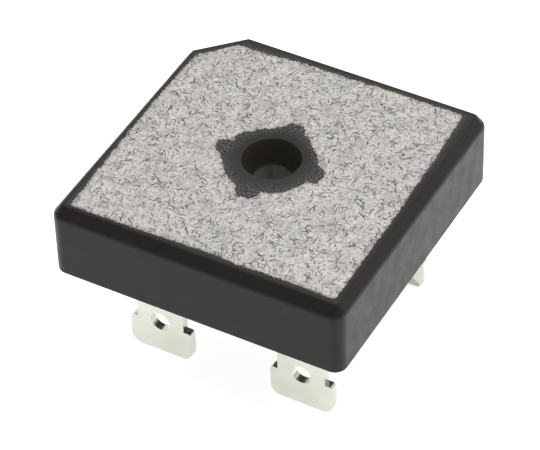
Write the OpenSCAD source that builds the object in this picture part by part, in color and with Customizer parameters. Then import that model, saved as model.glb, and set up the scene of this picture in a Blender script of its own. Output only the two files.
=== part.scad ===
// Bridge rectifier in a square moulded case, with a base plate to bolt to a heat sink
// and four quick-connect tabs.
// The base plate's outer face is z = 0 and faces up. The case and its tabs hang below it,
// and the screw hole's axis is the Z axis. The index corner points to -X and +Y.

/* [Case] */
// Side of the square case
case_w = 28.7; // [28:0.1:32]
// Height of the case, from the base plate's face to the terminal side
case_h = 7.55; // [7:0.05:9]
// Radius of the three upright corners
case_corner_r = 1.15; // [1:0.05:2]
// Leg of the cut-off index corner
index_leg = 4.2; // [3:0.1:5]
// Radius at both ends of the index corner's face
index_r = 0.4; // [0.2:0.05:0.6]
// Width of the bevel round the rim, seen from above
rim_w = 0.8; // [0.5:0.05:0.85]
// Height of the bevel round the rim
rim_h = 1.1; // [0.7:0.05:1.4]
// Radius that blends the bevel into the face above it
rim_face_r = 0.3; // [0.1:0.05:0.4]
// Radius that blends the bevel into the wall below it
rim_wall_r = 0.8; // [0.3:0.05:1]
// Diameter of the screw hole
hole_d = 5.36; // [5:0.02:5.6]
// Diameter of the four round ejector marks on the terminal side
mark_d = 2.6; // [2:0.1:3]
// Depth of the ejector marks
mark_depth = 0.15; // [0.1:0.05:0.3]
// Distance of the ejector marks from the screw hole's axis, along X and along Y
mark_at = 11.4; // [11:0.1:11.6]

/* [Base plate] */
// Thickness of the base plate
plate_t = 1.2; // [1:0.05:1.6]
// Width of the flat resin rim between the base plate and the bevel
plate_rim = 0.35; // [0.25:0.05:0.6]
// Radius of the base plate's corners
plate_corner_r = 0.5; // [0.2:0.05:1]
// Width of the buried ledge that locks the base plate into the resin
ledge_w = 0.3; // [0.2:0.05:0.4]
// Thickness of the ledge, on the base plate's inner side
ledge_t = 0.5; // [0.3:0.05:0.6]
// Diameter of the opening round the screw hole
opening_d = 8.4; // [7.8:0.1:9]
// Reach of the opening's four notches from the screw hole's axis
notch_reach = 5.25; // [5:0.05:6]
// Width of each notch
notch_w = 1.9; // [1.4:0.1:2.4]
// Radius of each notch's outer corners
notch_r = 0.5; // [0.2:0.05:0.65]

/* [Tabs] */
// Height from the base plate's face to the tips of the tabs
overall_h = 20.1; // [18.8:0.1:21.3]
// Thickness of the sheet that all four leads are stamped from
lead_t = 0.8; // [0.7:0.05:0.9]
// Width of a tab
tab_w = 6.3; // [6:0.05:6.6]
// Width of the neck between a tab and the case
neck_w = 4.8; // [4.4:0.1:5.2]
// Length of the wide part, from the shoulders to the tip
tab_l = 3.6; // [3:0.05:5]
// Width of the cut-off corners at the tip
tip_cut_w = 0.7; // [0.5:0.05:1]
// Height of the cut-off corners at the tip
tip_cut_h = 0.95; // [0.7:0.05:1.3]
// Radius that blends the cut-off corners into the tip and the sides
tip_r = 0.5; // [0.1:0.05:0.55]
// Radius of the shoulders' outer corners
shoulder_r = 0.35; // [0.05:0.05:0.4]
// Height of the lead-in bevels on both faces at the tip
lead_in_h = 0.3; // [0.2:0.05:0.5]
// Depth of each lead-in bevel
lead_in_d = 0.15; // [0.05:0.05:0.25]
// Diameter of the latch hole
latch_d = 2; // [1.6:0.1:2.4]
// Height of the latch hole's centre above the tip
latch_up = 3.9; // [3.2:0.1:4.2]
// Inner radius of the bend between a tab and its foot
bend_r = 0.5; // [0.3:0.05:0.6]

/* [Tab positions] */
// X of the minus tab's middle
minus_x = 7.15; // [7:0.05:7.3]
// Y of the minus tab's middle
minus_y = -8.05; // [-8.2:0.05:-7.9]
// Distance along X from the minus tab to the first AC tab
pitch_minus_ac1 = 14.5; // [14.3:0.1:14.8]
// Distance along Y from the minus tab to the second AC tab
pitch_minus_ac2 = 18.1; // [17.9:0.1:18.5]
// Distance along X from the second AC tab to the plus tab
pitch_ac2_plus = 16.6; // [16.4:0.1:16.8]
// Distance along Y from the first AC tab to the plus tab
pitch_ac1_plus = 11.4; // [11.2:0.1:11.8]

/* [Dice] */
// Side of each square diode die
die_w = 4.2; // [3.6:0.1:4.4]
// Thickness of each die
die_t = 0.3; // [0.2:0.05:0.4]
// Width of the bare border round the solder on a die
die_border = 0.25; // [0.1:0.05:0.4]
// Thickness of each solder layer
solder_t = 0.08; // [0.05:0.01:0.12]
// Width of the metal round each die on a foot
foot_margin = 0.7; // [0.4:0.1:0.8]
// Radius of the feet's outer corners
foot_r = 0.5; // [0.2:0.1:0.8]
// Distance of the outer dice from the screw hole's axis
die_out = 8.6; // [8.5:0.1:8.8]
// Offset along the ring of the dice on the case's left and right sides
side_die_along = 2.9; // [2.8:0.1:3]
// Offset along the ring of the dice on the case's front and back sides
end_die_along = 0.8; // [0.4:0.1:1.2]
// Resin between the base plate and the plus and minus feet
resin_gap = 0.5; // [0.3:0.05:0.8]
// Resin between the screw hole's wall and the nearest metal inside
hole_wall = 2.6; // [2.4:0.1:2.7]

/* [Hidden] */
$fn = 64;
over = 1;

// Heights, from the top down
ledge_z = -plate_t + ledge_t;
carrier_z = -plate_t - resin_gap;
solder_foot_z = carrier_z - lead_t;
die_z = solder_foot_z - solder_t;
solder_bridge_z = die_z - die_t;
bridge_z = solder_bridge_z - solder_t;
tip_z = -overall_h;
shoulder_z = tip_z + tab_l;

// Outlines that follow the case
case_half = case_w / 2;
plate_half = case_half - rim_w - plate_rim;
plate_leg = index_leg - (rim_w + plate_rim) * (2 - sqrt(2));

// Tabs: middle of the tab, quarter turns from a foot that points to +Y, top of the foot
ac1_x = minus_x - pitch_minus_ac1;
ac2_y = minus_y + pitch_minus_ac2;
plus_x = minus_x - pitch_ac2_plus;
plus_y = minus_y + pitch_ac1_plus;

// Feet: start of a foot beyond its tab's middle, half of a die's pad, limit towards the bore
foot_start = lead_t / 2 + bend_r;
pad = die_w / 2 + foot_margin;
inner = hole_d / 2 + hole_wall;

// Middles of the four dice
dice = [
    [-die_out, -side_die_along],
    [-end_die_along, die_out],
    [end_die_along, -die_out],
    [die_out, side_die_along],
];

resin = "#2b2a28";
plate_metal = "#bdb9b2";
tin = "#d3d5c6";
silicon = "#5b6068";
solder = "#9a9c9e";

// ---------- Outlines with rounded corners ----------

function unit(v) = v / norm(v);

// Rounds the corner a-b-c with radius r: [centre of the arc, where it starts, where it ends]
function corner_arc(a, b, c, r) =
    let (u = unit(a - b), w = unit(c - b), half_angle = acos(u * w) / 2)
    [
        b + unit(u + w) * r / sin(half_angle),
        b + u * r / tan(half_angle),
        b + w * r / tan(half_angle),
    ];

// The same for corner i of a closed outline
function outline_arc(points, radii, i) =
    let (n = len(points))
    corner_arc(points[(i + n - 1) % n], points[i], points[(i + 1) % n], radii[i]);

// Direction of the side that leaves corner i, in degrees
function side_angle(points, i) =
    let (d = points[(i + 1) % len(points)] - points[i])
    atan2(d[1], d[0]);

// A convex outline with a radius at each corner
module rounded_outline(points, radii) {
    arcs = [for (i = [0:len(points) - 1]) outline_arc(points, radii, i)];
    polygon([for (arc = arcs) each [arc[1], arc[2]]]);
    for (i = [0:len(arcs) - 1])
        translate(arcs[i][0])
            circle(r = radii[i]);
}

// A rectangle with rounded corners between two opposite corners
module strip(from, to, r = foot_r) {
    rounded_outline([from, [to[0], from[1]], to, [from[0], to[1]]], [r, r, r, r]);
}

// A square with one corner cut off, counter-clockwise from its -X, -Y corner
function index_square(half, leg) = [
    [-half, -half],
    [half, -half],
    [half, half],
    [-half + leg, half],
    [-half, half - leg],
];

// ---------- Case ----------

case_outline = index_square(case_half, index_leg);
square_corners = 3;
case_radii = [case_corner_r, case_corner_r, case_corner_r, index_r, index_r];

// Section of what the rim loses: x is outwards from the wall, y is up from the face
module rim_waste() {
    face_arc = corner_arc([-rim_w - over, 0], [-rim_w, 0], [0, -rim_h], rim_face_r);
    wall_arc = corner_arc([-rim_w, 0], [0, -rim_h], [0, -rim_h - over], rim_wall_r);
    difference() {
        polygon([
            face_arc[1],
            face_arc[2],
            wall_arc[1],
            wall_arc[2],
            [over, wall_arc[2][1]],
            [over, over],
            [face_arc[1][0], over],
        ]);
        translate(face_arc[0])
            circle(r = rim_face_r);
        translate(wall_arc[0])
            circle(r = rim_wall_r);
    }
}

// Where the bevel of a side starts from corner i: at the end of a round corner's arc. Sides
// that meet at the index corner's ends run on past each other, so that their bevels mitre.
function bevel_start(i) = i < square_corners ? case_corner_r : -over;

// Cuts the rim's bevel along the side that leaves corner i
module rim_side(i) {
    next = (i + 1) % len(case_outline);
    side_l = norm(case_outline[next] - case_outline[i]);
    bevel_l = side_l - bevel_start(i) - bevel_start(next);
    translate(case_outline[i])
        rotate(side_angle(case_outline, i) - 90)
            translate([0, side_l - bevel_start(next), 0])
                rotate([90, 0, 0])
                    linear_extrude(bevel_l)
                        rim_waste();
}

// Carries the bevel round one of the three right-angled corners
module rim_corner(i) {
    translate(outline_arc(case_outline, case_radii, i)[0])
        rotate(side_angle(case_outline, i) - 180)
            rotate_extrude(angle = 90)
                translate([case_corner_r, 0])
                    rim_waste();
}

module ejector_marks() {
    for (x = [-1, 1], y = [-1, 1])
        if (x > 0 || y < 0)
            translate([x * mark_at, y * mark_at, -case_h - over])
                cylinder(d = mark_d, h = over + mark_depth);
}

module case_blank() {
    difference() {
        translate([0, 0, -case_h])
            linear_extrude(case_h)
                rounded_outline(case_outline, case_radii);
        for (i = [0:len(case_outline) - 1])
            rim_side(i);
        for (i = [0:square_corners - 1])
            rim_corner(i);
        translate([0, 0, -case_h - over])
            cylinder(d = hole_d, h = case_h + 2 * over);
        ejector_marks();
    }
}

// The resin fills everything between the pieces that it is moulded round
module case() {
    color(resin)
        difference() {
            case_blank();
            plate_solid();
            plus_solid();
            minus_solid();
            ac_1_solid();
            ac_2_solid();
            for (i = [0:3]) {
                solder_foot_solid(i);
                die_solid(i);
                solder_bridge_solid(i);
            }
        }
}

// ---------- Base plate ----------

module plate_outline(grow = 0) {
    r = plate_corner_r + grow;
    rounded_outline(
        index_square(plate_half + grow, plate_leg + grow * (2 - sqrt(2))),
        [r, r, r, r, r]
    );
}

module plate_opening() {
    circle(d = opening_d);
    for (turn = [0, 90])
        rotate(turn)
            strip([-notch_reach, -notch_w / 2], [notch_reach, notch_w / 2], notch_r);
}

module plate_solid() {
    difference() {
        union() {
            translate([0, 0, -plate_t])
                linear_extrude(plate_t)
                    plate_outline();
            translate([0, 0, -plate_t])
                linear_extrude(ledge_t)
                    plate_outline(ledge_w);
        }
        translate([0, 0, -plate_t - over])
            linear_extrude(plate_t + 2 * over)
                plate_opening();
    }
}

module base_plate() {
    color(plate_metal)
        plate_solid();
}

// ---------- Leads ----------

// Front view of a tab and its neck, with y as the height
module tab_outline(top_z) {
    half = tab_w / 2;
    wide_part = [
        [-half + tip_cut_w, tip_z],
        [half - tip_cut_w, tip_z],
        [half, tip_z + tip_cut_h],
        [half, shoulder_z],
        [-half, shoulder_z],
        [-half, tip_z + tip_cut_h],
    ];
    difference() {
        union() {
            rounded_outline(wide_part, [tip_r, tip_r, tip_r, shoulder_r, shoulder_r, tip_r]);
            translate([-neck_w / 2, tip_z + tip_cut_h])
                square([neck_w, top_z - tip_z - tip_cut_h]);
        }
        translate([0, tip_z + latch_up])
            circle(d = latch_d);
    }
}

// Side view of a tab, with the lead-in bevels at its tip
module tab_section(top_z) {
    half = lead_t / 2;
    polygon([
        [-half, top_z],
        [-half, tip_z + lead_in_h],
        [-half + lead_in_d, tip_z],
        [half - lead_in_d, tip_z],
        [half, tip_z + lead_in_h],
        [half, top_z],
    ]);
}

// A tab and its bend. Its foot leaves towards +Y before the turn, with its upper face at top_z.
module formed_tab(x, y, turn, top_z) {
    straight_z = top_z - lead_t - bend_r;
    translate([x, y, 0])
        rotate(turn) {
            intersection() {
                translate([0, lead_t / 2, 0])
                    rotate([90, 0, 0])
                        linear_extrude(lead_t)
                            tab_outline(straight_z);
                translate([-tab_w, 0, 0])
                    rotate([90, 0, 90])
                        linear_extrude(2 * tab_w)
                            tab_section(straight_z);
            }
            translate([-neck_w / 2, foot_start, straight_z])
                rotate([90, 0, 90])
                    rotate([0, 0, 90])
                        rotate_extrude(angle = 90)
                            translate([bend_r, 0])
                                square([lead_t, neck_w]);
            translate([-neck_w / 2, foot_start, top_z - lead_t])
                cube([neck_w, foot_r, lead_t]);
        }
}

// A foot's plate, with its upper face at top_z
module foot(top_z) {
    translate([0, 0, top_z - lead_t])
        linear_extrude(lead_t)
            children();
}

// The part of a foot under or over die i
module die_pad(i) {
    strip(dice[i] - [pad, pad], dice[i] + [pad, pad]);
}

// Carries dice 1 and 2, cathodes down
module plus_solid() {
    formed_tab(plus_x, plus_y, -90, carrier_z);
    foot(carrier_z) {
        die_pad(0);
        strip([plus_x + foot_start, dice[0][1] - pad], [-inner, dice[1][1] + pad]);
        strip([plus_x + foot_start, dice[1][1] - pad], dice[1] + [pad, pad]);
    }
}

// Carries dice 3 and 4, anodes down
module minus_solid() {
    formed_tab(minus_x, minus_y, 0, carrier_z);
    foot(carrier_z) {
        die_pad(3);
        strip([inner, minus_y + foot_start], [minus_x + neck_w / 2, dice[3][1] + pad]);
        strip([dice[2][0] - pad, minus_y + foot_start], [minus_x + neck_w / 2, -inner]);
        die_pad(2);
    }
}

// Bridges dice 1 and 3
module ac_1_solid() {
    formed_tab(ac1_x, minus_y, 0, bridge_z);
    foot(bridge_z) {
        die_pad(0);
        strip([ac1_x - neck_w / 2, minus_y + foot_start], [-inner, dice[0][1] + pad]);
        strip([ac1_x - neck_w / 2, minus_y + foot_start], [dice[2][0] + pad, -inner]);
        die_pad(2);
    }
}

// Bridges dice 2 and 4
module ac_2_solid() {
    formed_tab(minus_x, ac2_y, 180, bridge_z);
    foot(bridge_z) {
        die_pad(3);
        strip([inner, dice[3][1] - pad], [minus_x + neck_w / 2, ac2_y - foot_start]);
        strip([dice[1][0] - pad, dice[1][1] - pad], [minus_x + neck_w / 2, ac2_y - foot_start]);
        die_pad(1);
    }
}

module terminal_plus() {
    color(tin)
        plus_solid();
}

module terminal_minus() {
    color(tin)
        minus_solid();
}

module terminal_ac_1() {
    color(tin)
        ac_1_solid();
}

module terminal_ac_2() {
    color(tin)
        ac_2_solid();
}

// ---------- Dice and solder ----------

// A square layer on die i's axis, with its upper face at top_z
module layer(i, width, thickness, top_z) {
    translate([dice[i][0], dice[i][1], top_z - thickness / 2])
        cube([width, width, thickness], center = true);
}

module die_solid(i) {
    layer(i, die_w, die_t, die_z);
}

module solder_foot_solid(i) {
    layer(i, die_w - 2 * die_border, solder_t, solder_foot_z);
}

module solder_bridge_solid(i) {
    layer(i, die_w - 2 * die_border, solder_t, solder_bridge_z);
}

module diode(i) {
    color(silicon)
        die_solid(i);
}

module solder_foot(i) {
    color(solder)
        solder_foot_solid(i);
}

module solder_bridge(i) {
    color(solder)
        solder_bridge_solid(i);
}

case();
base_plate();
terminal_plus();
terminal_minus();
terminal_ac_1();
terminal_ac_2();
diode(0);  // diode_1
diode(1);  // diode_2
diode(2);  // diode_3
diode(3);  // diode_4
solder_foot(0);  // solder_foot_1
solder_foot(1);  // solder_foot_2
solder_foot(2);  // solder_foot_3
solder_foot(3);  // solder_foot_4
solder_bridge(0);  // solder_bridge_1
solder_bridge(1);  // solder_bridge_2
solder_bridge(2);  // solder_bridge_3
solder_bridge(3);  // solder_bridge_4
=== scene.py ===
import math

import bpy
import bmesh
import numpy as np
from mathutils import Matrix, Vector, geometry, kdtree


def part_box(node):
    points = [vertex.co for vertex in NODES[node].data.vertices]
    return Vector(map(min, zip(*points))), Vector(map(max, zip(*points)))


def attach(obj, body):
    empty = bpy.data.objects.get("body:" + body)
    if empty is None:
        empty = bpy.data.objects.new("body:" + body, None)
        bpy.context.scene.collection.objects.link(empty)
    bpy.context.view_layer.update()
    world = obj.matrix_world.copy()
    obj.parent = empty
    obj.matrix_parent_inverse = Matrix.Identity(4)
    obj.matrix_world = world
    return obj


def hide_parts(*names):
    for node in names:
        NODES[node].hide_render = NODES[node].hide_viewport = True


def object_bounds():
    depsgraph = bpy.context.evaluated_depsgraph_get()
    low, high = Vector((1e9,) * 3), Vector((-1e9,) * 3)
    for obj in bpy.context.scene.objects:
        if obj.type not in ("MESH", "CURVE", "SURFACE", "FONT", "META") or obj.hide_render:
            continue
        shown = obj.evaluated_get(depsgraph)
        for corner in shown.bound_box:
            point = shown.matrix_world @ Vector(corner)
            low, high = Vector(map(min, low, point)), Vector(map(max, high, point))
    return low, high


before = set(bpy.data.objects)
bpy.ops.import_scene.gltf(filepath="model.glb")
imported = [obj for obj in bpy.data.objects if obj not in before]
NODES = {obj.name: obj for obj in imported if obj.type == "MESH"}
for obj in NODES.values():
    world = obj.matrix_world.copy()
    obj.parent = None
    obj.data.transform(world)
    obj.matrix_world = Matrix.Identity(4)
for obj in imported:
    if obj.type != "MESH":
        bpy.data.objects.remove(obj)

MM = 0.001
CAD_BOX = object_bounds()
rng = np.random.default_rng(20)

# ---------------------------------------------------------------- sizes, in millimetres

CASE_LOW, CASE_HIGH = (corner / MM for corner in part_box("case"))
HALF = CASE_HIGH.x
CASE_H = -CASE_LOW.z
FLOOR_Z = CAD_BOX[0].z / MM
SQUARE_R, INDEX_R, INDEX_LEG = 1.15, 0.4, 4.2
RIM_W, RIM_H, BROW_R, KNEE_R = 0.8, 1.1, 0.3, 0.8
FOOT_EDGE_R = 0.05
BORE_R, BORE_EDGE_R, BORE_SIDES = 2.68, 0.07, 96
MARK_R, MARK_DEPTH, MARK_AT, MARK_SIDES = 1.3, 0.15, 11.4, 48
MARK_TAPER = 0.03       # how much narrower an ejector mark is at its floor
STAMPED_EDGE_R = 0.07   # on the edges of the leads

PLATE_T, LEDGE_W, LEDGE_T = 1.2, 0.3, 0.5
PLATE_HALF, PLATE_LEG, PLATE_R = 13.3, 3.56, 0.5
PLATE_DIP = 0.03        # the plate's face lies this much under the resin's
FILM_T = 0.06           # thickness of the resin film that has crept over the plate's edges
FIT = 0.004             # clearance between the plate and the resin
FACE_GAP = 0.003        # the same where the plate shows


# ---------------------------------------------------------------- outlines

def unit(v):
    return v / np.linalg.norm(v)


def index_square(half, leg):
    """A square with its -X, +Y corner cut off, counter-clockwise from -X, -Y."""
    return np.array([
        [-half, -half], [half, -half], [half, half], [-half + leg, half], [-half, half - leg],
    ])


def arc_at(a, b, c, r, n):
    """The n + 1 points of the arc of radius r that rounds the corner a-b-c."""
    u, w = unit(a - b), unit(c - b)
    half = math.acos(np.clip(u @ w, -1, 1)) / 2
    centre = b + unit(u + w) * r / math.sin(half)
    start, end = (b + v * r / math.tan(half) - centre for v in (u, w))
    t0 = math.atan2(start[1], start[0])
    turn = math.remainder(math.atan2(end[1], end[0]) - t0, math.tau)
    t = t0 + turn * np.arange(n + 1) / n
    return centre + r * np.stack([np.cos(t), np.sin(t)], 1)


def rounded(corners, radii, n=8, side=()):
    """A closed outline with rounded corners. side gives the places of extra points on each
    side, as fractions of the straight part between two arcs."""
    arcs = [
        arc_at(corners[i - 1], corners[i], corners[(i + 1) % len(corners)], r, n)
        for i, r in enumerate(radii)
    ]
    out = []
    for i, arc in enumerate(arcs):
        out.append(arc)
        start, end = arc[-1], arcs[(i + 1) % len(arcs)][0]
        out += [(start + (end - start) * f)[None] for f in side]
    return np.concatenate(out)


def case_loop(inset, side):
    """The case's outline, moved inwards."""
    shrunk = index_square(HALF - inset, INDEX_LEG - inset * (2 - math.sqrt(2)))
    radii = [max(r - inset, 0.08) for r in (SQUARE_R, SQUARE_R, SQUARE_R, INDEX_R, INDEX_R)]
    return rounded(shrunk, radii, 8, side)


def circle(r, n, at=(0, 0)):
    t = math.tau * np.arange(n) / n
    return np.array(at) + r * np.stack([np.cos(t), np.sin(t)], 1)


def resample(xy, step):
    """A closed line's points at equal steps."""
    closed = np.concatenate([xy, xy[:1]])
    along = np.concatenate([[0], np.cumsum(np.linalg.norm(np.diff(closed, axis=0), axis=1))])
    n = int(along[-1] / step)
    at = along[-1] * np.arange(n) / n
    return np.stack([np.interp(at, along, closed[:, k]) for k in (0, 1)], 1)


def smooth_line(xy, passes):
    for _ in range(passes):
        xy = (np.roll(xy, 1, 0) + 2 * xy + np.roll(xy, -1, 0)) / 4
    return xy


def outwards(xy):
    """The unit normals of a counter-clockwise closed line."""
    along = np.roll(xy, -1, 0) - np.roll(xy, 1, 0)
    return np.stack([along[:, 1], -along[:, 0]], 1) / np.linalg.norm(along, axis=1)[:, None]


def push(xy, distance):
    """Moves each point away from the origin, so that the line never crosses itself."""
    return xy * (1 + distance / np.linalg.norm(xy, axis=1))[:, None]


def ragged(n, step, wave):
    """Smooth random values round a closed line, one hump per wave, from -1 to 1."""
    knots = max(int(n * step / wave), 4)
    values = rng.uniform(-1, 1, knots)
    t = np.arange(n) / n * knots
    i, f = np.floor(t).astype(int), t % 1
    f = f * f * (3 - 2 * f)
    return values[i % knots] * (1 - f) + values[(i + 1) % knots] * f


# ---------------------------------------------------------------- meshes from outlines

def inside(points, loop):
    """Which points lie inside a closed outline."""
    hit = np.zeros(len(points), bool)
    x, y = points[:, 0], points[:, 1]
    for (x0, y0), (x1, y1) in zip(loop, np.roll(loop, -1, 0)):
        if y0 != y1:
            hit ^= ((y0 > y) != (y1 > y)) & (x < (x1 - x0) * (y - y0) / (y1 - y0) + x0)
    return hit


class Shell:
    """Collects the vertices and faces of one closed mesh, in millimetres."""

    def __init__(self):
        self.co, self.faces = [], []

    def loop(self, xy, z):
        start = len(self.co)
        zs = z if hasattr(z, "__len__") else [z] * len(xy)
        self.co += [(x, y, h) for (x, y), h in zip(xy, zs)]
        return list(range(start, len(self.co)))

    def bridge(self, *loops):
        for a, b in zip(loops, loops[1:]):
            n = len(a)
            self.faces += [(a[i], a[(i + 1) % n], b[(i + 1) % n], b[i]) for i in range(n)]

    def fill(self, outer, *holes, extra=()):
        """Closes the flat ring between loops, through the vertices in extra."""
        used = [*outer, *(v for h in holes for v in h), *extra]
        xy = np.array([self.co[v][:2] for v in used])
        edges, start = [], 0
        for ring in (outer, *holes):
            n = len(ring)
            edges += [(start + i, start + (i + 1) % n) for i in range(n)]
            start += n
        made = geometry.delaunay_2d_cdt([Vector(p) for p in xy], edges, [], 0, 1e-7)
        back = [used[o[0]] for o in made[3]]
        tris = np.array([[back[v] for v in f] for f in made[2]])
        flat = np.array([c[:2] for c in self.co])
        middles = flat[tris].mean(1)
        keep = inside(middles, flat[outer])
        for ring in holes:
            keep &= ~inside(middles, flat[ring])
        self.faces += [tuple(int(v) for v in t) for t in tris[keep]]

    def object(self, name, smooth=30):
        mesh = bpy.data.meshes.new(name)
        mesh.from_pydata([tuple(c * MM for c in v) for v in self.co], [], self.faces)
        bm = bmesh.new()
        bm.from_mesh(mesh)
        bmesh.ops.recalc_face_normals(bm, faces=bm.faces)
        bm.to_mesh(mesh)
        bm.free()
        obj = bpy.data.objects.new(name, mesh)
        bpy.context.scene.collection.objects.link(obj)
        shade(mesh, smooth)
        return obj


def shade(mesh, angle):
    mesh.shade_smooth()
    mesh.set_sharp_from_angle(angle=math.radians(angle))


# ---------------------------------------------------------------- where the plate shows

# Distance between the points of the two ragged lines
FILM_STEP, HOLE_STEP = 0.07, 0.05

# How far the resin has crept over the plate from its edge, at equal steps along the front,
# right, back, index and left sides. Read from the photo, in millimetres.
CREEP = [
    (0.02, 0.05, 0.26, 0.28, 0.25),
    (0.06, 0.12, 0.30, 0.42, 0.85),
    (0.33, 0.36, 0.43, 0.53, 0.95),
    (0.42, 0.36, 0.36),
    (0.26, 0.16, 0.12, 0.33, 0.55),
]


def plate_outline(grow=0.0):
    corners = index_square(PLATE_HALF + grow, PLATE_LEG + grow * (2 - math.sqrt(2)))
    return rounded(corners, [PLATE_R + grow] * 5, 6)


def crossing(a, b, c, d):
    """Where the lines a-b and c-d meet."""
    t = np.linalg.solve(np.stack([b - a, c - d], 1), c - a)
    return a + (b - a) * t[0]


def film_line():
    """The ragged line to which the resin covers the plate's border."""
    corners = index_square(PLATE_HALF, PLATE_LEG)
    sides = []
    for i, creep in enumerate(CREEP):
        a, b = corners[i], corners[(i + 1) % 5]
        inwards = unit(np.array([a[1] - b[1], b[0] - a[0]]))
        share = np.linspace(0, 1, len(creep))[:, None]
        sides.append(a + (b - a) * share + inwards * np.array(creep)[:, None])
    line = []
    for i, line_up in enumerate(sides):
        line.append(crossing(*sides[i - 1][-2:], *line_up[:2]))
        line += list(line_up[1:-1])
    line = smooth_line(resample(np.array(line), FILM_STEP), 30)
    n = len(line)
    rough = 0.06 * ragged(n, FILM_STEP, 2.4) + 0.05 * ragged(n, FILM_STEP, 0.8)
    bites = np.maximum(ragged(n, FILM_STEP, 0.45), 0) ** 2
    rough -= 0.14 * bites * (0.6 + 0.4 * ragged(n, FILM_STEP, 3.0))
    rough += 0.05 * ragged(n, FILM_STEP, 0.28) + 0.05 * ragged(n, FILM_STEP, 0.15)
    return np.clip(push(line, rough), -PLATE_HALF, PLATE_HALF)


# The resin's edge round the screw hole: four notches, and between them the plate's round
# opening, which the resin has crept over here and there. Read from the photo, in
# millimetres from the middle of the hole.
OPENING = [
    (5.15, -0.35), (5.05, 0.4), (4.75, 0.85), (4.4, 0.9), (4.05, 1.2), (3.5, 2.0), (3.0, 2.55),
    (2.2, 3.25), (1.5, 3.93), (1.12, 4.0), (0.95, 4.3), (0.85, 4.65), (0.6, 5.0), (0.0, 5.05),
    (-0.7, 5.1), (-0.95, 4.5), (-1.3, 4.0), (-2.0, 3.4), (-2.55, 3.25), (-3.0, 2.9), (-3.2, 2.4),
    (-3.85, 2.1), (-4.1, 1.5), (-4.3, 1.0), (-4.05, 0.62), (-4.6, 0.5), (-5.1, 0.3), (-5.3, 0.0),
    (-5.22, -0.6), (-4.95, -1.1), (-4.4, -1.4), (-4.05, -1.75), (-3.5, -2.6), (-2.9, -3.3),
    (-2.1, -3.9), (-1.6, -4.15), (-1.15, -4.35), (-0.95, -4.95), (-0.4, -5.5), (0.05, -5.5),
    (0.75, -5.42), (1.1, -4.8), (1.2, -4.2), (2.2, -3.85), (3.0, -3.3), (3.4, -2.7),
    (3.78, -2.0), (3.98, -1.45), (4.1, -1.15), (4.5, -1.2), (5.0, -1.05),
]


def opening_line():
    line = smooth_line(resample(np.array(OPENING), HOLE_STEP), 3)
    n = len(line)
    rough = 0.05 * ragged(n, HOLE_STEP, 0.7) + 0.06 * ragged(n, HOLE_STEP, 0.3)
    rough += 0.06 * ragged(n, HOLE_STEP, 0.16)
    return push(line, rough)


# The wall of the plate's opening, POST, is hidden under the resin that ends at HOLE
FILM = film_line()
HOLE = opening_line()
POST = smooth_line(resample(HOLE * 0.94, 0.2), 3)


def relief(xy):
    """Height of the plate's rough face at each point."""
    z = np.zeros(len(xy))
    for wave, height in ((7.0, 0.004), (2.6, 0.003), (1.1, 0.0025)):
        for _ in range(5):
            turn, phase = rng.uniform(0, math.tau, 2)
            k = math.tau / (wave * rng.uniform(0.7, 1.3))
            z += height * np.sin(k * (xy @ np.array([math.cos(turn), math.sin(turn)])) + phase) / 2
    return z - PLATE_DIP


# ---------------------------------------------------------------- the plate

# Points that carry the relief of the plate's face: spacing, jitter as a share of it, reach
# from the middle, and distance kept from the ragged lines
GRID_STEP, GRID_JITTER, GRID_HALF, GRID_MARGIN = 0.24, 0.3, 13.6, 0.1


def build_plate():
    shell = Shell()
    edge = FILM - outwards(FILM) * FACE_GAP
    mouth = HOLE + outwards(HOLE) * FACE_GAP
    ticks = np.arange(-GRID_HALF, GRID_HALF, GRID_STEP)
    grid = np.stack(np.meshgrid(ticks, ticks), -1).reshape(-1, 2)
    grid += rng.uniform(-GRID_JITTER, GRID_JITTER, grid.shape) * GRID_STEP
    near_in = edge - outwards(edge) * GRID_MARGIN
    near_out = mouth + outwards(mouth) * GRID_MARGIN
    grid = grid[inside(grid, near_in) & ~inside(grid, near_out)]
    xy = np.concatenate([edge, mouth, grid])
    z = relief(xy)
    ids = shell.loop(xy, z)
    rim, brim = ids[:len(edge)], ids[len(edge):len(edge) + len(mouth)]
    shell.fill(rim, brim, extra=ids[len(edge) + len(mouth):])
    rim_low, brim_low = shell.loop(edge, -FILM_T), shell.loop(mouth, -FILM_T)
    shell.bridge(rim, rim_low)
    shell.bridge(brim, brim_low)
    wall = [shell.loop(plate_outline(), z) for z in (-FILM_T, -PLATE_T + LEDGE_T)]
    ledge = [shell.loop(plate_outline(LEDGE_W), z) for z in (-PLATE_T + LEDGE_T, -PLATE_T)]
    post = [shell.loop(POST, z) for z in (-FILM_T, -PLATE_T)]
    shell.fill(wall[0], rim_low)
    shell.bridge(*wall)
    shell.fill(ledge[0], wall[1])
    shell.bridge(*ledge)
    shell.fill(ledge[1], post[1])
    shell.bridge(*post)
    shell.fill(brim_low, post[0])
    return shell.object("heat_plate", 40)


# ---------------------------------------------------------------- the moulded case

def rim_profile():
    """The wall and rim in section, from the foot up: (distance inwards, height)."""
    q = np.linspace(0, math.pi / 2, 5)
    foot = [(FOOT_EDGE_R * (1 - math.sin(t)), -CASE_H + FOOT_EDGE_R * (1 - math.cos(t))) for t in q]
    wall, knee, brow = np.array([0, -CASE_H]), np.array([0, -RIM_H]), np.array([-RIM_W, 0])
    flat = np.array([-RIM_W - 1, 0])
    low, high = arc_at(wall, knee, brow, KNEE_R, 7), arc_at(knee, brow, flat, BROW_R, 5)
    up = unit(high[0] - low[-1]) * 0.03
    line = [(-x, z) for x, z in [
        (0, low[0][1] - 0.04), *low, low[-1] + up, high[0] - up, *high,
    ]]
    return foot + [(0, -CASE_H + FOOT_EDGE_R + 0.04)] + line


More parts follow.
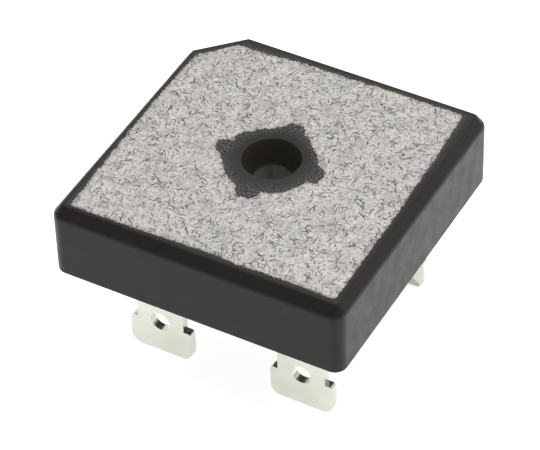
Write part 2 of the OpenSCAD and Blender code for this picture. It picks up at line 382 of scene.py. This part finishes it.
def build_case():
    shell = Shell()
    side = [0.003, *np.linspace(0.03, 0.97, 30), 0.997]
    profile = rim_profile()
    rings = [shell.loop(case_loop(d, side), z) for d, z in profile]
    shell.bridge(*rings)
    inner = shell.loop(case_loop(profile[-1][0] + 0.03, side), 0.0)
    shell.bridge(rings[-1], inner)

    # Resin film over the plate's border, then the pocket under it
    under = -FILM_T + FIT
    film = [shell.loop(FILM, z) for z in (0.0, under)]
    mouth = [shell.loop(HOLE, z) for z in (0.0, under)]
    wall = [shell.loop(plate_outline(FIT), z) for z in (under, -PLATE_T + LEDGE_T + FIT)]
    ledge = [shell.loop(plate_outline(LEDGE_W + FIT), z)
             for z in (-PLATE_T + LEDGE_T + FIT, -PLATE_T - FIT)]
    post_line = POST - outwards(POST) * FIT
    post = [shell.loop(post_line, z) for z in (under, -PLATE_T - FIT)]
    shell.fill(inner, film[0])
    shell.bridge(*film)
    shell.fill(wall[0], film[1])
    shell.bridge(*wall)
    shell.fill(ledge[0], wall[1])
    shell.bridge(*ledge)
    shell.fill(ledge[1], post[1])
    shell.bridge(*post)
    shell.fill(mouth[1], post[0])
    shell.bridge(*mouth)

    # Screw hole, with its edges just broken
    n, e = BORE_SIDES, BORE_EDGE_R
    q = np.linspace(0, math.pi / 2, 4)
    top = [shell.loop(circle(BORE_R + e * (1 - math.sin(t)), n), -e * (1 - math.cos(t))) for t in q]
    low = [shell.loop(circle(BORE_R + e * (1 - math.sin(t)), n), -CASE_H + e * (1 - math.cos(t)))
           for t in q]
    shell.fill(mouth[0], top[0])
    shell.bridge(*top, *low[::-1])

    # Terminal side, with three ejector marks
    marks = []
    for x, y in ((-1, -1), (1, -1), (1, 1)):
        at = (x * MARK_AT, y * MARK_AT)
        loops = [shell.loop(circle(MARK_R, MARK_SIDES, at), -CASE_H),
                 shell.loop(circle(MARK_R - MARK_TAPER, MARK_SIDES, at), -CASE_H + MARK_DEPTH)]
        shell.bridge(*loops)
        shell.fill(loops[1])
        marks.append(loops[0])
    shell.fill(rings[0], low[0], *marks)
    return shell.object("moulded_case", 30)


def cut_pockets(case):
    """Takes the leads, dice and solder out of the resin."""
    cutters = bpy.data.collections.new("cutters")
    for name, obj in NODES.items():
        if name not in ("case", "base_plate"):
            cutters.objects.link(obj)
    cut = case.modifiers.new("pockets", "BOOLEAN")
    cut.operation, cut.solver = "DIFFERENCE", "EXACT"
    cut.operand_type, cut.collection = "COLLECTION", cutters
    bpy.context.view_layer.update()
    depsgraph = bpy.context.evaluated_depsgraph_get()
    made = bpy.data.meshes.new_from_object(case.evaluated_get(depsgraph))
    case.modifiers.clear()
    case.data = made
    shade(made, 30)
    bpy.data.collections.remove(cutters)


# How far the smear beside the ragged lines reaches on the resin and on the plate
RESIN_REACH, PLATE_REACH = 0.25, 0.35
TOP_Z = -0.055          # what lies above this belongs to the top face


def mark_edges(obj, reach):
    """Stores how near each top vertex is to the ragged line between resin and plate: 1 on
    the line, 0 from reach millimetres away."""
    mesh = obj.data
    co = np.empty(len(mesh.vertices) * 3)
    mesh.vertices.foreach_get("co", co)
    co = co.reshape(-1, 3) / MM
    lines = kdtree.KDTree(len(FILM) + len(HOLE))
    for i, (x, y) in enumerate(np.concatenate([FILM, HOLE])):
        lines.insert((x, y, 0), i)
    lines.balance()
    near = np.zeros(len(co), np.float32)
    for i in np.flatnonzero(co[:, 2] > TOP_Z):
        away = lines.find((co[i, 0], co[i, 1], 0))[2] - FIT
        near[i] = max(0.0, 1 - max(away, 0) / reach)
    mesh.attributes.new("edge", "FLOAT", "POINT").data.foreach_set("value", near)


# ---------------------------------------------------------------- materials

class Paint:
    """A short way to lay out a material's nodes."""

    def __init__(self, name):
        self.material = bpy.data.materials.new(name)
        self.material.use_nodes = True
        self.tree = self.material.node_tree
        self.tree.nodes.clear()
        self.out = self.node("ShaderNodeOutputMaterial")
        self.shader = self.node("ShaderNodeBsdfPrincipled")
        self.link(self.shader.outputs[0], self.out.inputs["Surface"])
        self.place = self.node("ShaderNodeTexCoord").outputs["Object"]

    def node(self, kind, **values):
        node = self.tree.nodes.new(kind)
        for key, value in values.items():
            setattr(node, key, value)
        return node

    def link(self, source, target):
        if hasattr(source, "links"):
            self.tree.links.new(source, target)
        else:
            target.default_value = source

    def set(self, **values):
        for key, value in values.items():
            self.link(value, self.shader.inputs[key.replace("_", " ")])

    def stretch(self, scale=(1, 1, 1), shift=(0, 0, 0)):
        """The place in the object, scaled and then moved by shift, in metres."""
        node = self.node("ShaderNodeMapping")
        self.link(self.place, node.inputs["Vector"])
        node.inputs["Scale"].default_value = scale
        node.inputs["Location"].default_value = shift
        return node.outputs[0]

    def near_edge(self):
        return self.node("ShaderNodeAttribute", attribute_name="edge").outputs["Fac"]

    def noise(self, size, detail=3.0, rough=0.5, at=None):
        """Cloudy values from 0 to 1. size is one cloud, in millimetres."""
        node = self.node("ShaderNodeTexNoise")
        self.link(self.place if at is None else at, node.inputs["Vector"])
        node.inputs["Scale"].default_value = 1 / (size * MM)
        node.inputs["Detail"].default_value = detail
        node.inputs["Roughness"].default_value = rough
        return node.outputs[0]

    def ramp(self, value, low, high, to=(0.0, 1.0)):
        """Goes softly from to[0] at low to to[1] at high, and stays there past both."""
        node = self.node("ShaderNodeMapRange", clamp=True, interpolation_type="SMOOTHSTEP")
        self.link(value, node.inputs["Value"])
        for key, number in zip(("From Min", "From Max", "To Min", "To Max"), (low, high, *to)):
            self.link(number, node.inputs[key])
        return node.outputs[0]

    def math(self, operation, a, b=0.0):
        node = self.node("ShaderNodeMath", operation=operation)
        self.link(a, node.inputs[0])
        self.link(b, node.inputs[1])
        return node.outputs[0]

    def mix(self, share, a, b, blend="MIX"):
        node = self.node("ShaderNodeMix", data_type="RGBA", blend_type=blend)
        self.link(share, node.inputs[0])
        for socket, colour in ((node.inputs[6], a), (node.inputs[7], b)):
            self.link((*colour, 1) if isinstance(colour, tuple) else colour, socket)
        return node.outputs[2]

    def bump(self, height, depth):
        """Relief. height is from 0 to 1 and stands for depth millimetres."""
        node = self.node("ShaderNodeBump")
        node.inputs["Strength"].default_value = 1.0
        node.inputs["Distance"].default_value = depth * MM
        self.link(height, node.inputs["Height"])
        before = self.shader.inputs["Normal"]
        if before.links:
            self.link(before.links[0].from_socket, node.inputs["Normal"])
        self.link(node.outputs[0], before)

    def needles(self, cell, length, width, shift, share):
        """Short bent marks in all directions, one to a cell, from 0 to 1. Sizes are in
        millimetres, and share is the part of the cells that has one."""
        flat = self.node("ShaderNodeVectorMath", operation="MULTIPLY")
        self.link(self.place, flat.inputs[0])
        flat.inputs[1].default_value = (1, 1, 0)
        bend = self.node("ShaderNodeTexNoise")
        self.link(flat.outputs[0], bend.inputs["Vector"])
        bend.inputs["Scale"].default_value = 900
        bend.inputs["Detail"].default_value = 1
        centred = self.node("ShaderNodeVectorMath", operation="MULTIPLY_ADD")
        self.link(bend.outputs["Color"], centred.inputs[0])
        centred.inputs[1].default_value = (0.0003, 0.0003, 0)
        centred.inputs[2].default_value = (shift * MM, -1.7 * shift * MM, 0)
        moved = self.node("ShaderNodeVectorMath", operation="ADD")
        self.link(flat.outputs[0], moved.inputs[0])
        self.link(centred.outputs[0], moved.inputs[1])
        cells = self.node("ShaderNodeTexVoronoi", voronoi_dimensions="2D")
        self.link(moved.outputs[0], cells.inputs["Vector"])
        cells.inputs["Scale"].default_value = 1 / (cell * MM)
        cells.inputs["Randomness"].default_value = 1
        away = self.node("ShaderNodeVectorMath", operation="SUBTRACT")
        self.link(moved.outputs[0], away.inputs[0])
        self.link(cells.outputs["Position"], away.inputs[1])
        chance = self.node("ShaderNodeSeparateColor")
        self.link(cells.outputs["Color"], chance.inputs[0])
        turned = self.node("ShaderNodeVectorRotate", rotation_type="Z_AXIS")
        self.link(away.outputs[0], turned.inputs["Vector"])
        self.link(self.math("MULTIPLY", chance.outputs[0], math.pi), turned.inputs["Angle"])
        xyz = self.node("ShaderNodeSeparateXYZ")
        self.link(turned.outputs[0], xyz.inputs[0])
        reach = self.math("MULTIPLY_ADD", chance.outputs[1], length * 0.6 * MM)
        reach.node.inputs[2].default_value = length * 0.4 * MM
        along = self.math("DIVIDE", self.math("ABSOLUTE", xyz.outputs[0]), reach)
        across = self.math("DIVIDE", self.math("ABSOLUTE", xyz.outputs[1]), width * MM)
        mark = self.math("MULTIPLY", self.ramp(along, 1.0, 0.5), self.ramp(across, 1.0, 0.25))
        there = self.ramp(chance.outputs[2], 1 - share, 1 - share + 0.25)
        return self.math("MULTIPLY", mark, there)


def resin_paint():
    p = Paint("resin")
    cloud, grain, fine = p.noise(6, 4, 0.55), p.noise(0.5, 3, 0.6), p.noise(0.12, 2, 0.5)
    tone = p.mix(p.ramp(cloud, 0.3, 0.7), (0.0205, 0.0190, 0.0172), (0.0245, 0.0228, 0.0208))
    plum = p.noise(1.8, 4, 0.6, at=p.stretch(shift=(0.02, 0.05, 0.01)))
    tone = p.mix(p.ramp(plum, 0.5, 0.7, (0, 0.8)), tone, (0.030, 0.021, 0.024))
    moss = p.noise(1.4, 4, 0.6, at=p.stretch(shift=(0.06, 0.01, 0.03)))
    tone = p.mix(p.ramp(moss, 0.52, 0.7, (0, 0.7)), tone, (0.019, 0.021, 0.016))
    dust = p.math("MULTIPLY", p.ramp(grain, 0.62, 0.8), p.ramp(fine, 0.5, 0.75))
    tone = p.mix(p.math("MULTIPLY", dust, 0.25), tone, (0.09, 0.088, 0.084))
    speck = p.noise(0.13, 2, 0.6)
    thin = p.math("MULTIPLY", p.math("POWER", p.near_edge(), 2.0), p.ramp(speck, 0.5, 0.6))
    tone = p.mix(p.math("MULTIPLY", thin, 0.6), tone, (0.30, 0.285, 0.265))
    # Painted light: the screw hole's wall gets a lighter copy of the resin colour, standing in for
    # light bounced inside the hole; the wall is also smoother there
    axis = p.node("ShaderNodeVectorMath", operation="LENGTH")
    p.link(p.stretch((1, 1, 0)), axis.inputs[0])
    bore = p.ramp(axis.outputs["Value"], (BORE_R + 0.04) * MM, (BORE_R + 0.01) * MM)
    tone = p.mix(bore, tone, (0.066, 0.058, 0.046))
    rough = p.ramp(p.noise(1.6, 5, 0.6), 0.3, 0.7, (0.30, 0.42))
    rough = p.math("MULTIPLY", rough, p.ramp(bore, 0.0, 1.0, (1.0, 0.35)))
    p.set(Base_Color=tone, Roughness=rough, IOR=1.35)
    p.bump(p.noise(1.8, 3, 0.5), 0.012)
    p.bump(p.noise(0.22, 3, 0.6), 0.004)
    return p.material


def plate_paint():
    p = Paint("plate_metal")
    base = p.mix(p.ramp(p.noise(4, 3, 0.5), 0.3, 0.7), (0.60, 0.58, 0.55), (0.65, 0.63, 0.59))
    tint = p.noise(6, 2, 0.5, at=p.stretch(shift=(0.03, 0.01, 0)))
    base = p.mix(p.ramp(tint, 0.5, 0.65, (0, 0.45)), base, (0.60, 0.55, 0.58))
    cool = p.noise(3, 2, 0.5, at=p.stretch(shift=(0.07, 0.05, 0)))
    base = p.mix(p.ramp(cool, 0.55, 0.7, (0, 0.4)), base, (0.54, 0.56, 0.56))
    for size, low, high, shift in ((1.5, 0.84, 1.04, 0.01), (0.55, 0.80, 1.05, 0.02),
                                   (0.26, 0.80, 1.07, 0.04), (0.12, 0.80, 1.09, 0.06)):
        cloud = p.noise(size, 2, 0.5, at=p.stretch(shift=(shift, -shift, 0)))
        base = p.mix(1.0, base, p.ramp(cloud, 0.25, 0.6, (low, high)), "MULTIPLY")
    marks = p.needles(1.6, 0.95, 0.07, 0.0, 0.5)
    for cell, length, width, shift, share in (
        (1.2, 0.75, 0.075, 19.0, 0.6),
        (0.9, 0.55, 0.075, 37.0, 0.7),
        (0.7, 0.4, 0.075, 71.0, 0.7),
        (0.55, 0.28, 0.075, 113.0, 0.7),
        (0.42, 0.2, 0.07, 151.0, 0.7),
    ):
        marks = p.math("MAXIMUM", marks, p.needles(cell, length, width, shift, share))
    strength = p.ramp(p.noise(1.1, 3, 0.6), 0.36, 0.6, (0.25, 1.0))
    marks = p.math("MULTIPLY", marks, strength)
    base = p.mix(marks, base, (0.075, 0.07, 0.065))
    spot = p.ramp(p.noise(0.3, 2, 0.5, at=p.stretch(shift=(0.02, 0.09, 0))), 0.66, 0.74)
    base = p.mix(p.math("MULTIPLY", spot, 0.6), base, (0.13, 0.125, 0.12))
    smear = p.math("MULTIPLY", p.near_edge(), p.ramp(p.noise(0.16, 2, 0.6), 0.45, 0.6))
    base = p.mix(p.math("MULTIPLY", smear, 0.85), base, (0.045, 0.042, 0.038))
    p.set(Base_Color=base, Metallic=0.55)
    p.set(Roughness=p.ramp(p.noise(0.6, 4, 0.6), 0.3, 0.7, (0.5, 0.68)))
    p.bump(p.noise(0.35, 4, 0.6), 0.012)
    p.bump(marks, -0.01)
    return p.material


def tin_paint():
    p = Paint("tinned_copper")
    base = p.mix(p.ramp(p.noise(1.6, 4, 0.55), 0.35, 0.65), (0.80, 0.82, 0.71), (0.86, 0.87, 0.79))
    base = p.mix(p.ramp(p.noise(0.8, 3, 0.6), 0.55, 0.75, (0, 0.35)), base, (0.76, 0.75, 0.63))
    rolled = p.noise(0.25, 3, 0.5, at=p.stretch((1, 1, 0.12)))
    p.set(Base_Color=base, Metallic=1.0)
    p.set(Roughness=p.ramp(rolled, 0.3, 0.7, (0.22, 0.27)))
    p.bump(p.noise(1.2, 2, 0.5), 0.003)
    p.bump(rolled, 0.0001)
    return p.material


def silicon_paint():
    p = Paint("silicon")
    base = p.mix(p.ramp(p.noise(1.2, 3, 0.5), 0.3, 0.7), (0.10, 0.11, 0.13), (0.15, 0.16, 0.18))
    p.set(Base_Color=base, Metallic=0.6)
    p.set(Roughness=p.ramp(p.noise(0.3, 2, 0.5), 0.3, 0.7, (0.14, 0.24)))
    p.bump(p.noise(0.2, 2, 0.5), 0.001)
    return p.material


def solder_paint():
    p = Paint("solder")
    base = p.mix(p.ramp(p.noise(0.5, 4, 0.6), 0.3, 0.7), (0.42, 0.42, 0.43), (0.58, 0.58, 0.58))
    p.set(Base_Color=base, Metallic=1.0)
    p.set(Roughness=p.ramp(p.noise(0.3, 3, 0.6), 0.3, 0.7, (0.3, 0.5)))
    p.bump(p.noise(0.4, 3, 0.6), 0.01)
    return p.material


def wear(obj, material):
    obj.data.materials.clear()
    obj.data.materials.append(material)


# ---------------------------------------------------------------- the object

RESIN, PLATE, TIN = resin_paint(), plate_paint(), tin_paint()
SILICON, SOLDER = silicon_paint(), solder_paint()

case = build_case()
cut_pockets(case)
plate = build_plate()
mark_edges(case, RESIN_REACH)
mark_edges(plate, PLATE_REACH)
for piece, node, slot, material in (
    (case, "case", "resin", RESIN),
    (plate, "base_plate", "plate_metal", PLATE),
):
    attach(piece, "root")
    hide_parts(node)
    wear(piece, material)

for name, obj in NODES.items():
    if name.startswith("terminal"):
        wear(obj, TIN)
        bevel = obj.modifiers.new("stamped_edge", "BEVEL")
        bevel.width, bevel.segments = STAMPED_EDGE_R * MM, 3
        bevel.limit_method, bevel.angle_limit = "ANGLE", math.radians(35)
        bevel.harden_normals = True
        obj.data.shade_smooth()
    elif name.startswith("diode"):
        wear(obj, SILICON)
    elif name.startswith("solder"):
        wear(obj, SOLDER)

# ---------------------------------------------------------------- floor, light and camera


FLOOR_SIZE, FLOOR_SQUARES = 1500.0, 24


def build_floor():
    n, size = FLOOR_SQUARES, FLOOR_SIZE
    ticks = np.linspace(-size, size, n + 1)
    points = [(x * MM, y * MM, FLOOR_Z * MM) for y in ticks for x in ticks]
    faces = [
        (j * (n + 1) + i, j * (n + 1) + i + 1, (j + 1) * (n + 1) + i + 1, (j + 1) * (n + 1) + i)
        for j in range(n) for i in range(n)
    ]
    mesh = bpy.data.meshes.new("floor")
    mesh.from_pydata(points, [], faces)
    obj = bpy.data.objects.new("floor", mesh)
    bpy.context.scene.collection.objects.link(obj)
    p = Paint("floor_paper")
    seen = p.node("ShaderNodeLightPath").outputs
    reflected = p.math("MAXIMUM", seen["Is Glossy Ray"], seen["Is Transmission Ray"])
    xyz = p.node("ShaderNodeSeparateXYZ")
    p.link(p.place, xyz.inputs[0])
    # Painted shade: what the gloss shows of the floor glows dimmer in front of the object, y being
    # in metres
    dim_y, bright_y, levels = -0.024, -0.016, (0.42, 0.62)
    level = p.ramp(xyz.outputs[1], dim_y, bright_y, levels)
    glow = p.math("MAXIMUM", p.math("MULTIPLY", reflected, level),
                  p.math("MULTIPLY", seen["Is Camera Ray"], 0.8))
    p.set(Base_Color=(0.8, 0.8, 0.8, 1), Roughness=0.9, Specular_IOR_Level=0.0)
    p.set(Emission_Color=(1, 1, 1, 1), Emission_Strength=glow)
    mesh.materials.append(p.material)


BRIGHT_SIDE = (-0.35, 0.68, 0.64)   # where the studio is brightest, seen from the object


def build_world():
    """White where the camera looks past the floor. What lights the object and shows in its
    gloss is a soft studio: bright above and behind, dark low down in front."""
    world = bpy.data.worlds.new("studio")
    bpy.context.scene.world = world
    world.use_nodes = True
    tree = world.node_tree
    tree.nodes.clear()

    def node(kind, **values):
        made = tree.nodes.new(kind)
        for key, value in values.items():
            setattr(made, key, value)
        return made

    out, sky, white = (node(k) for k in (
        "ShaderNodeOutputWorld", "ShaderNodeBackground", "ShaderNodeBackground"))
    towards = node("ShaderNodeVectorMath", operation="DOT_PRODUCT")
    tree.links.new(node("ShaderNodeTexCoord").outputs["Generated"], towards.inputs[0])
    towards.inputs[1].default_value = BRIGHT_SIDE
    level = node("ShaderNodeMapRange", interpolation_type="SMOOTHSTEP")
    tree.links.new(towards.outputs["Value"], level.inputs["Value"])
    for key, number in (("From Min", -0.5), ("From Max", 0.9), ("To Min", 0.12), ("To Max", 1.0)):
        level.inputs[key].default_value = number
    tree.links.new(level.outputs[0], sky.inputs["Strength"])
    white.inputs["Strength"].default_value = 1.0
    pick = node("ShaderNodeMixShader")
    tree.links.new(node("ShaderNodeLightPath").outputs["Is Camera Ray"], pick.inputs[0])
    tree.links.new(sky.outputs[0], pick.inputs[1])
    tree.links.new(white.outputs[0], pick.inputs[2])
    tree.links.new(pick.outputs[0], out.inputs[0])


def lamp(name, at, size, power):
    data = bpy.data.lights.new(name, "AREA")
    data.shape, data.size, data.energy = "DISK", size, power
    obj = bpy.data.objects.new(name, data)
    bpy.context.scene.collection.objects.link(obj)
    obj.location = at
    obj.rotation_mode = "QUATERNION"
    obj.rotation_quaternion = Vector(at).to_track_quat("Z", "Y")


def build_camera():
    """Looks down on the plate from the front, 30 degrees round to the right."""
    azimuth, elevation, roll = (math.radians(a) for a in (30.065, 43.183, -2.002))
    distance, lens = 270.117, 202.2
    middle, shift_right, shift_up = Vector((-0.064, 0.178, -4.0)), -0.377, -3.053
    back = Vector((
        math.sin(azimuth) * math.cos(elevation),
        -math.cos(azimuth) * math.cos(elevation),
        math.sin(elevation),
    ))
    right = Vector((math.cos(azimuth), math.sin(azimuth), 0))
    up = back.cross(right)
    aim = middle + shift_right * right + shift_up * up
    data = bpy.data.cameras.new("camera")
    data.sensor_width, data.lens = 36, lens
    data.clip_start, data.clip_end = 0.01, 10
    obj = bpy.data.objects.new("camera", data)
    bpy.context.scene.collection.objects.link(obj)
    turned = Matrix.Rotation(roll, 3, back)
    axes = Matrix((turned @ right, turned @ up, back)).transposed()
    obj.matrix_world = Matrix.Translation((aim + back * distance) * MM) @ axes.to_4x4()
    bpy.context.scene.camera = obj


build_floor()
build_world()
lamp("softbox", at=(0.12, 0.05, 0.50), size=0.58, power=1.3)
build_camera()
bpy.context.scene.view_settings.view_transform = "Standard"

bpy.context.view_layer.update()
